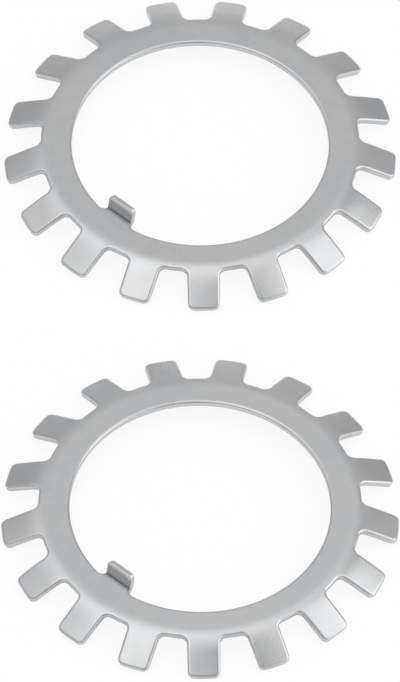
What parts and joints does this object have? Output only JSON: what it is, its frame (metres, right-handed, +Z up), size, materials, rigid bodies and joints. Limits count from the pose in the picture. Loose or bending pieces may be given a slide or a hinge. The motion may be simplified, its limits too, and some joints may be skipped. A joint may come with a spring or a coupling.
{
  "type": "pair of bearing lock washers",
  "caption": "Pair of bearing lock washers: pressed steel rings with teeth bent down round the outside and a key tab folded up in the bore, to lock a nut on a shaft.",
  "frame": {"origin": "on the floor, in the middle between the two washers", "axes": "+Y from the front washer to the rear one, +Z up along both bores, +X to the right as seen from the front"},
  "size_m": [0.0695, 0.1482, 0.0068],
  "materials": {
    "sheet_steel": "tumbled, fine satin"
  },
  "bodies": {
    "root": {"front_washer": "sheet_steel", "rear_washer": "sheet_steel"}
  },
  "joints": []
}
